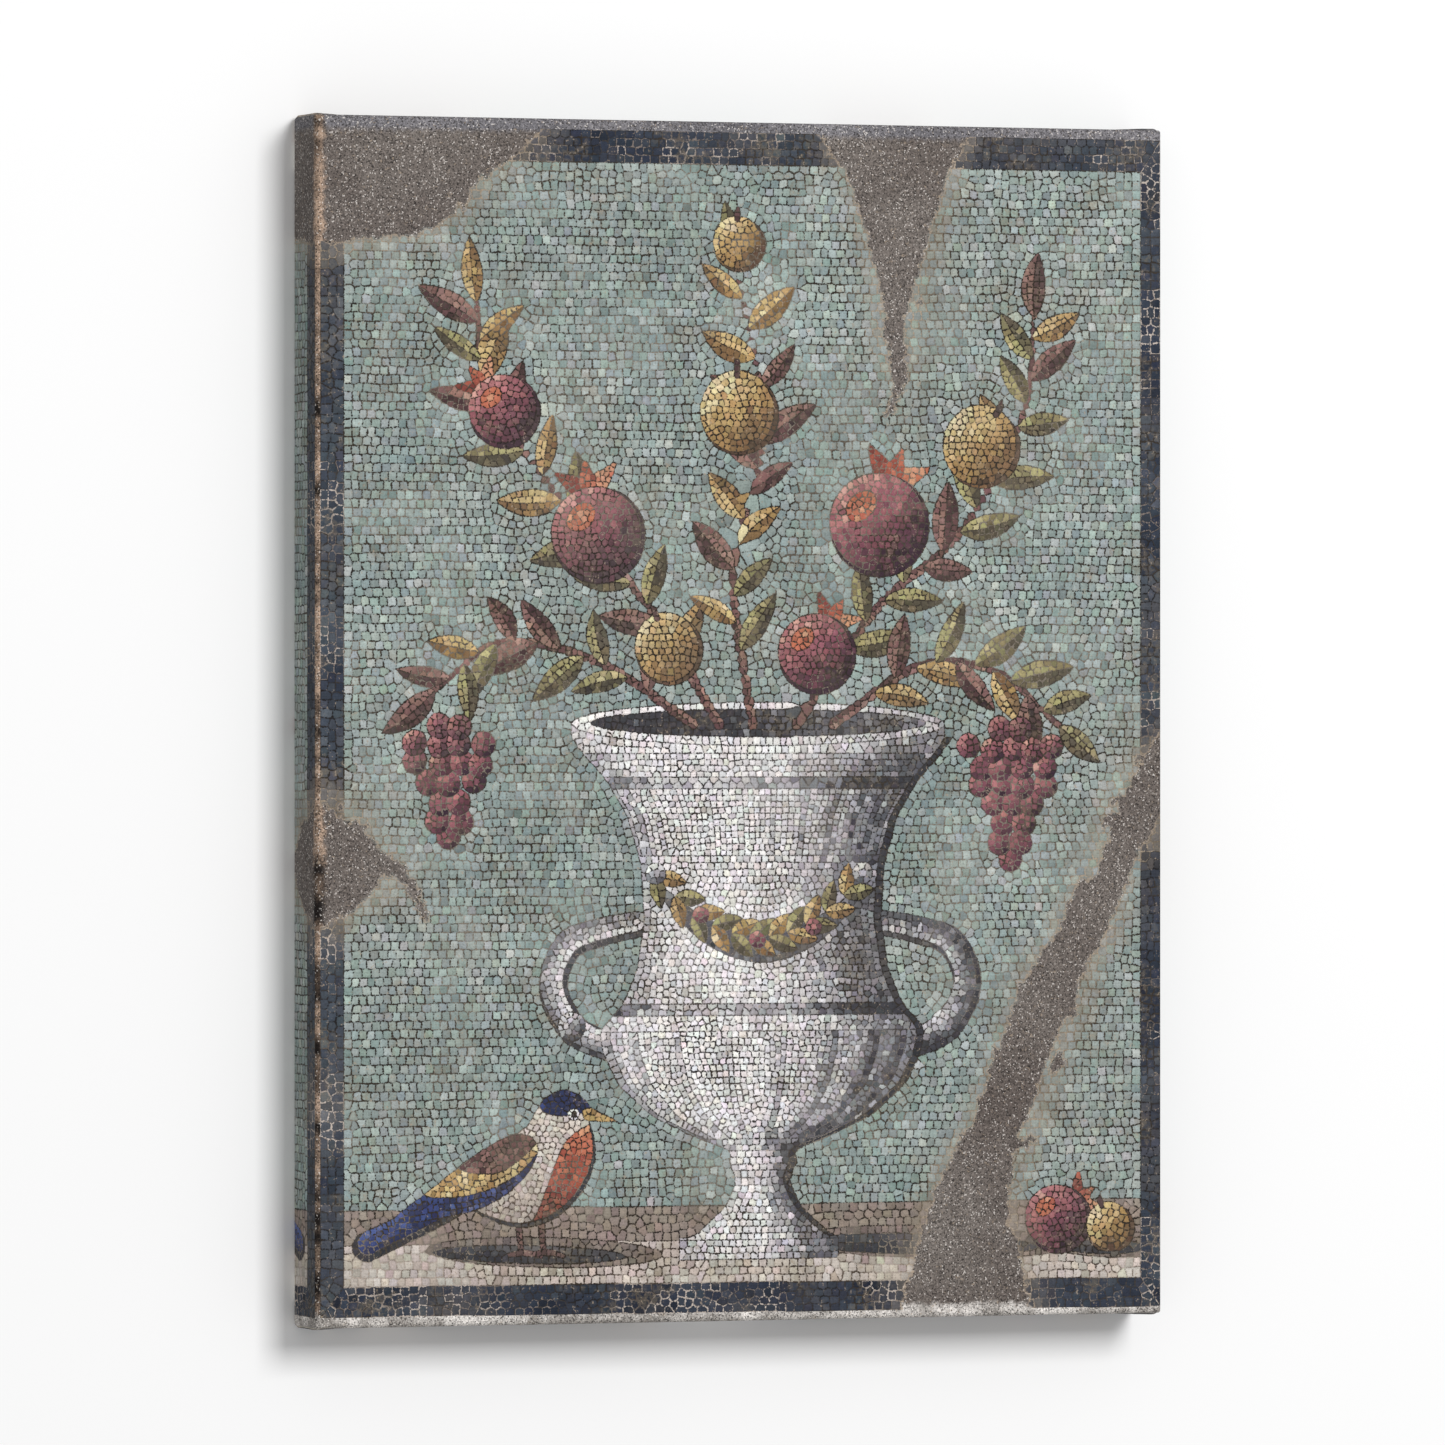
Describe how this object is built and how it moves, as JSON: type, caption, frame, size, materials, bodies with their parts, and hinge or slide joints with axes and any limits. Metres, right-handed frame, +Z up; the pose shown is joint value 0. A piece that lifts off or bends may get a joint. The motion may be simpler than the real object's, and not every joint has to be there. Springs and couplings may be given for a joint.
{
  "type": "stretched canvas print",
  "caption": "Upright gallery-wrapped canvas print on a mitred wooden stretcher frame, printed with a worn mosaic picture that runs round its sides.",
  "frame": {"origin": "where the picture hangs: on the flat underside of the top stretcher bar, at mid-width, 12 mm in front of the wall", "axes": "+Z up the picture, +Y from the print towards the wall, +X to the right as the print is seen from in front"},
  "size_m": [0.4572, 0.0381, 0.6096],
  "materials": {
    "printed_canvas": "printed cotton canvas with a satin coat, bare white cloth on its inner side",
    "pine": "planed bare pine"
  },
  "bodies": {
    "root": {"canvas": "printed_canvas", "stretcher_bar_top": "pine", "stretcher_bar_bottom": "pine", "stretcher_bar_left": "pine", "stretcher_bar_right": "pine"}
  },
  "joints": []
}
